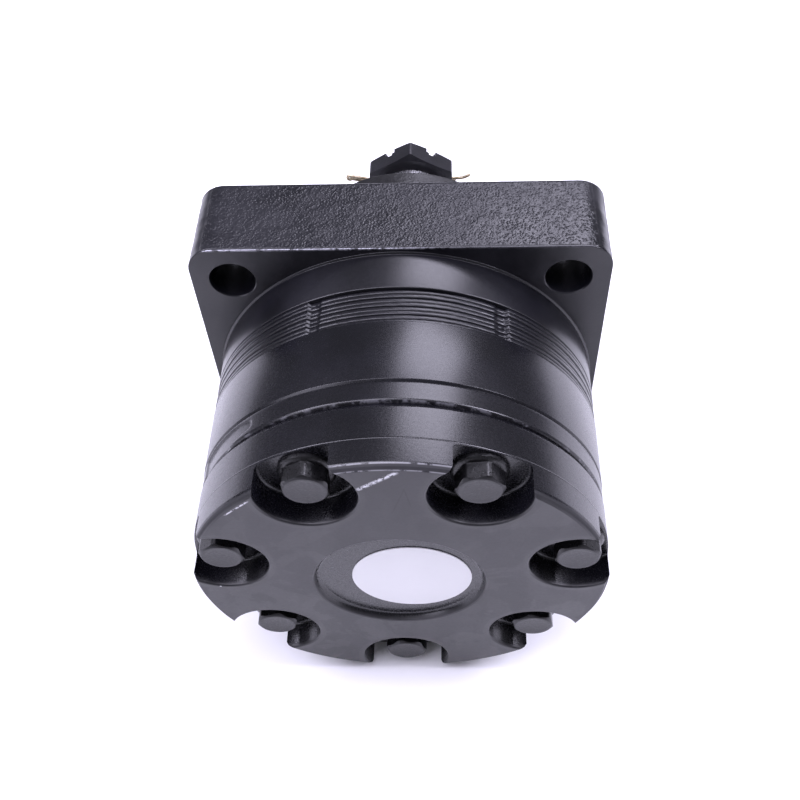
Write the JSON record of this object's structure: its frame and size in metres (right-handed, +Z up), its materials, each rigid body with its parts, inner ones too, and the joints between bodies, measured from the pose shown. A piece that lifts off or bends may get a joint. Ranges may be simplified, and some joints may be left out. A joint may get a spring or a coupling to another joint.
{
  "type": "hydraulic motor",
  "caption": "Low-speed hydraulic wheel motor: square flange, round laminated stack, pocketed end cover with hex bolts, and a tapered shaft with slotted nut and cotter pin.",
  "frame": {"origin": "centre of the four flange holes, on the flange's mounting face, on the shaft axis", "axes": "+Y along the shaft towards its nut, +Z up with the motor lying as in use, +X to the right seen from the end cover"},
  "size_m": [0.1308, 0.1866, 0.1308],
  "materials": {
    "black_paint": "satin black paint over cast iron and steel",
    "hardened_steel": "ground",
    "bearing_steel": "polished",
    "black_bolts": "black oxide",
    "nut_black": "black paint",
    "plated_wire": "yellow zinc plate",
    "label": "matt white",
    "seal_rubber": "matt"
  },
  "bodies": {
    "casing": {"wheel_mount_housing": "black_paint", "front_bearing_cup": "hardened_steel", "rear_bearing_cup": "hardened_steel", "thrust_washer_housing": "hardened_steel", "shaft_seal": "seal_rubber", "dust_seal": "seal_rubber", "manifold_plate_1": "black_paint", "manifold_plate_2": "black_paint", "manifold_plate_3": "black_paint", "manifold_plate_4": "black_paint", "manifold_plate_5": "black_paint", "manifold_plate_6": "black_paint", "manifold_plate_7": "black_paint", "manifold_plate_8": "black_paint", "stator_ring": "black_paint", "wear_plate": "black_paint", "end_cover": "black_paint", "cover_bolts": "black_bolts", "seal_housing_manifold": "seal_rubber", "seal_manifold_stator": "seal_rubber", "seal_stator_wear": "seal_rubber", "seal_wear_cover": "seal_rubber", "blank_label": "label"},
    "shaft": {"output_shaft": "hardened_steel", "shaft_key": "hardened_steel", "slotted_nut": "nut_black", "cotter_pin": "plated_wire", "thrust_washer_shaft": "hardened_steel", "drive_spacer": "bearing_steel"},
    "front_cage": {"front_bearing_cage": "bearing_steel", "front_bearing_needles": "bearing_steel"},
    "rear_cage": {"rear_bearing_cage": "bearing_steel", "rear_bearing_needles": "bearing_steel"},
    "thrust_cage": {"thrust_bearing_cage": "bearing_steel", "thrust_bearing_needles": "bearing_steel"},
    "valve": {"orbiting_valve_ring": "hardened_steel"},
    "link": {"drive_link": "hardened_steel"},
    "rotor": {"six_lobe_rotor": "hardened_steel"},
    "roller_1": {"stator_roller_1": "hardened_steel"},
    "roller_2": {"stator_roller_2": "hardened_steel"},
    "roller_3": {"stator_roller_3": "hardened_steel"},
    "roller_4": {"stator_roller_4": "hardened_steel"},
    "roller_5": {"stator_roller_5": "hardened_steel"},
    "roller_6": {"stator_roller_6": "hardened_steel"},
    "roller_7": {"stator_roller_7": "hardened_steel"}
  },
  "joints": [
    {"name": "shaft_spin", "type": "hinge", "parent": "casing", "child": "shaft", "pos_m": [0, 0.02, 0], "axis": [0, 1, 0], "continuous": true},
    {"name": "front_cage_spin", "type": "hinge", "parent": "casing", "child": "front_cage", "pos_m": [0, 0.0154, 0], "axis": [0, 1, 0], "continuous": true},
    {"name": "rear_cage_spin", "type": "hinge", "parent": "casing", "child": "rear_cage", "pos_m": [0, -0.026, 0], "axis": [0, 1, 0], "continuous": true},
    {"name": "thrust_cage_spin", "type": "hinge", "parent": "casing", "child": "thrust_cage", "pos_m": [0, 0.0012, 0], "axis": [0, 1, 0], "continuous": true},
    {"name": "valve_orbit", "type": "hinge", "parent": "casing", "child": "valve", "pos_m": [0, -0.04005, 0], "axis": [0, 1, 0], "continuous": true},
    {"name": "link_turn", "type": "hinge", "parent": "valve", "child": "link", "pos_m": [0, -0.012, 0], "axis": [-0.0498, 0.9988, 0], "continuous": true},
    {"name": "rotor_turn", "type": "hinge", "parent": "valve", "child": "rotor", "pos_m": [0.0028, -0.06812, 0], "axis": [0, 1, 0], "continuous": true},
    {"name": "roller_1_spin", "type": "hinge", "parent": "casing", "child": "roller_1", "pos_m": [0.0365, -0.06812, 0], "axis": [0, 1, 0], "continuous": true},
    {"name": "roller_2_spin", "type": "hinge", "parent": "casing", "child": "roller_2", "pos_m": [0.02276, -0.06812, -0.02854], "axis": [0, 1, 0], "continuous": true},
    {"name": "roller_3_spin", "type": "hinge", "parent": "casing", "child": "roller_3", "pos_m": [-0.00812, -0.06812, -0.03558], "axis": [0, 1, 0], "continuous": true},
    {"name": "roller_4_spin", "type": "hinge", "parent": "casing", "child": "roller_4", "pos_m": [-0.03289, -0.06812, -0.01584], "axis": [0, 1, 0], "continuous": true},
    {"name": "roller_5_spin", "type": "hinge", "parent": "casing", "child": "roller_5", "pos_m": [-0.03289, -0.06812, 0.01584], "axis": [0, 1, 0], "continuous": true},
    {"name": "roller_6_spin", "type": "hinge", "parent": "casing", "child": "roller_6", "pos_m": [-0.00812, -0.06812, 0.03558], "axis": [0, 1, 0], "continuous": true},
    {"name": "roller_7_spin", "type": "hinge", "parent": "casing", "child": "roller_7", "pos_m": [0.02276, -0.06812, 0.02854], "axis": [0, 1, 0], "continuous": true}
  ],
  "couplings": [
    {"joint": "front_cage_spin", "follows": "shaft_spin", "ratio": 0.46594},
    {"joint": "rear_cage_spin", "follows": "shaft_spin", "ratio": 0.47455},
    {"joint": "thrust_cage_spin", "follows": "shaft_spin", "ratio": 0.5},
    {"joint": "valve_orbit", "follows": "shaft_spin", "ratio": -6},
    {"joint": "link_turn", "follows": "shaft_spin", "ratio": 7},
    {"joint": "rotor_turn", "follows": "shaft_spin", "ratio": 7},
    {"joint": "roller_1_spin", "follows": "shaft_spin", "ratio": -4.747},
    {"joint": "roller_2_spin", "follows": "shaft_spin", "ratio": -4.747},
    {"joint": "roller_3_spin", "follows": "shaft_spin", "ratio": -4.747},
    {"joint": "roller_4_spin", "follows": "shaft_spin", "ratio": -4.747},
    {"joint": "roller_5_spin", "follows": "shaft_spin", "ratio": -4.747},
    {"joint": "roller_6_spin", "follows": "shaft_spin", "ratio": -4.747},
    {"joint": "roller_7_spin", "follows": "shaft_spin", "ratio": -4.747}
  ]
}
